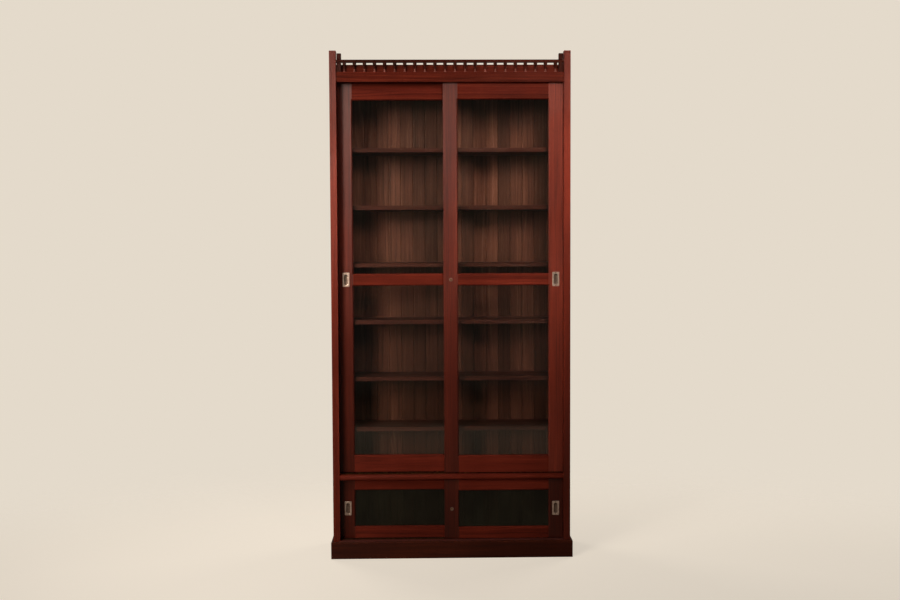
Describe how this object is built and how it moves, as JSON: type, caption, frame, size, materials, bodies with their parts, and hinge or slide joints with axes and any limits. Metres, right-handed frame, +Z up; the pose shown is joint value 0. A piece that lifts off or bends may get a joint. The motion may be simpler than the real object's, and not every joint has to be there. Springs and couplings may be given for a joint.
{
  "type": "sliding door bookcase",
  "caption": "Tall glazed mahogany office bookcase with sliding door pairs above and below a moulded ledge, adjustable shelves, a spindle gallery on top and a projecting plinth.",
  "frame": {"origin": "middle of the footprint's bounding box on the floor plane, z = 0 at the underside of the plinth", "axes": "+Z up, the doors face -Y, +X to the right for someone facing the doors"},
  "size_m": [1.244, 0.342, 2.59],
  "materials": {
    "mahogany": "french polished red-brown mahogany, worn satin gloss",
    "carcass_wood": "dark stained, dull",
    "shelf_wood": "stained and waxed",
    "plinth_wood": "darkened polish, scuffed",
    "glass": "clear old drawn glass",
    "pull_metal": "pale worn brass",
    "brass": "dull aged brass"
  },
  "bodies": {
    "carcass": {"left_gable": "mahogany", "right_gable": "mahogany", "top_board": "carcass_wood", "head_board": "carcass_wood", "frieze": "mahogany", "gallery_rail": "mahogany", "gallery_spindles": "mahogany", "gallery_posts": "mahogany", "mid_ledge": "mahogany", "bottom_board": "carcass_wood", "back_boards": "carcass_wood", "kick_rail": "carcass_wood", "plinth_front": "plinth_wood", "plinth_returns": "plinth_wood", "plinth_blocks": "carcass_wood", "shelf_racks": "carcass_wood", "shelf_battens": "carcass_wood", "shelf_1": "shelf_wood", "shelf_2": "shelf_wood", "shelf_3": "shelf_wood", "shelf_4": "shelf_wood", "shelf_5": "shelf_wood", "shelf_6": "shelf_wood", "upper_sill_rails": "brass", "lower_sill_rails": "brass"},
    "upper_left_door": {"upper_left_door_stiles": "mahogany", "upper_left_door_rails": "mahogany", "upper_left_door_glass": "glass", "upper_left_door_beads": "mahogany", "upper_left_door_pull": "pull_metal", "upper_left_door_strike": "brass", "upper_left_door_sheaves": "brass"},
    "upper_right_door": {"upper_right_door_stiles": "mahogany", "upper_right_door_rails": "mahogany", "upper_right_door_glass": "glass", "upper_right_door_beads": "mahogany", "upper_right_door_pull": "pull_metal", "upper_right_door_sheaves": "brass", "upper_lock_case": "brass"},
    "lower_left_door": {"lower_left_door_stiles": "mahogany", "lower_left_door_rails": "mahogany", "lower_left_door_glass": "glass", "lower_left_door_beads": "mahogany", "lower_left_door_pull": "pull_metal", "lower_left_door_strike": "brass"},
    "lower_right_door": {"lower_right_door_stiles": "mahogany", "lower_right_door_rails": "mahogany", "lower_right_door_glass": "glass", "lower_right_door_beads": "mahogany", "lower_right_door_pull": "pull_metal", "lower_lock_case": "brass"},
    "upper_left_roller_outer": {"upper_left_roller_outer": "brass"},
    "upper_left_roller_inner": {"upper_left_roller_inner": "brass"},
    "upper_right_roller_outer": {"upper_right_roller_outer": "brass"},
    "upper_right_roller_inner": {"upper_right_roller_inner": "brass"},
    "upper_lock_plug": {"upper_lock_plug": "brass"},
    "upper_lock_bolt": {"upper_lock_bolt": "brass"},
    "lower_lock_plug": {"lower_lock_plug": "brass"},
    "lower_lock_bolt": {"lower_lock_bolt": "brass"}
  },
  "joints": [
    {"name": "upper_left_door_slide", "type": "slide", "parent": "carcass", "child": "upper_left_door", "axis": [1, 0, 0], "range_m": [0, 0.538]},
    {"name": "upper_right_door_slide", "type": "slide", "parent": "carcass", "child": "upper_right_door", "axis": [1, 0, 0], "range_m": [-0.538, 0]},
    {"name": "lower_left_door_slide", "type": "slide", "parent": "carcass", "child": "lower_left_door", "axis": [1, 0, 0], "range_m": [0, 0.538]},
    {"name": "lower_right_door_slide", "type": "slide", "parent": "carcass", "child": "lower_right_door", "axis": [1, 0, 0], "range_m": [-0.538, 0]},
    {"name": "upper_left_roller_outer_spin", "type": "hinge", "parent": "upper_left_door", "child": "upper_left_roller_outer", "pos_m": [-0.466, -0.091, 0.4453], "axis": [0, 1, 0], "continuous": true},
    {"name": "upper_left_roller_inner_spin", "type": "hinge", "parent": "upper_left_door", "child": "upper_left_roller_inner", "pos_m": [-0.072, -0.091, 0.4453], "axis": [0, 1, 0], "continuous": true},
    {"name": "upper_right_roller_outer_spin", "type": "hinge", "parent": "upper_right_door", "child": "upper_right_roller_outer", "pos_m": [0.466, -0.121, 0.4453], "axis": [0, 1, 0], "continuous": true},
    {"name": "upper_right_roller_inner_spin", "type": "hinge", "parent": "upper_right_door", "child": "upper_right_roller_inner", "pos_m": [0.072, -0.121, 0.4453], "axis": [0, 1, 0], "continuous": true},
    {"name": "upper_lock_turn", "type": "hinge", "parent": "upper_right_door", "child": "upper_lock_plug", "pos_m": [0, -0.133, 1.4335], "axis": [0, 1, 0], "range_deg": [0, 90]},
    {"name": "upper_lock_throw", "type": "slide", "parent": "upper_right_door", "child": "upper_lock_bolt", "axis": [0, 1, 0], "range_m": [0, 0.004]},
    {"name": "lower_lock_turn", "type": "hinge", "parent": "lower_right_door", "child": "lower_lock_plug", "pos_m": [0, -0.133, 0.2475], "axis": [0, 1, 0], "range_deg": [0, 90]},
    {"name": "lower_lock_throw", "type": "slide", "parent": "lower_right_door", "child": "lower_lock_bolt", "axis": [0, 1, 0], "range_m": [0, 0.004]}
  ],
  "couplings": [
    {"joint": "upper_left_roller_outer_spin", "follows": "upper_left_door_slide", "rad_per_m": 97.087},
    {"joint": "upper_left_roller_inner_spin", "follows": "upper_left_door_slide", "rad_per_m": 97.087},
    {"joint": "upper_right_roller_outer_spin", "follows": "upper_right_door_slide", "rad_per_m": 97.087},
    {"joint": "upper_right_roller_inner_spin", "follows": "upper_right_door_slide", "rad_per_m": 97.087},
    {"joint": "upper_lock_throw", "follows": "upper_lock_turn", "m_per_rad": 0.0025465},
    {"joint": "lower_lock_throw", "follows": "lower_lock_turn", "m_per_rad": 0.0025465}
  ]
}
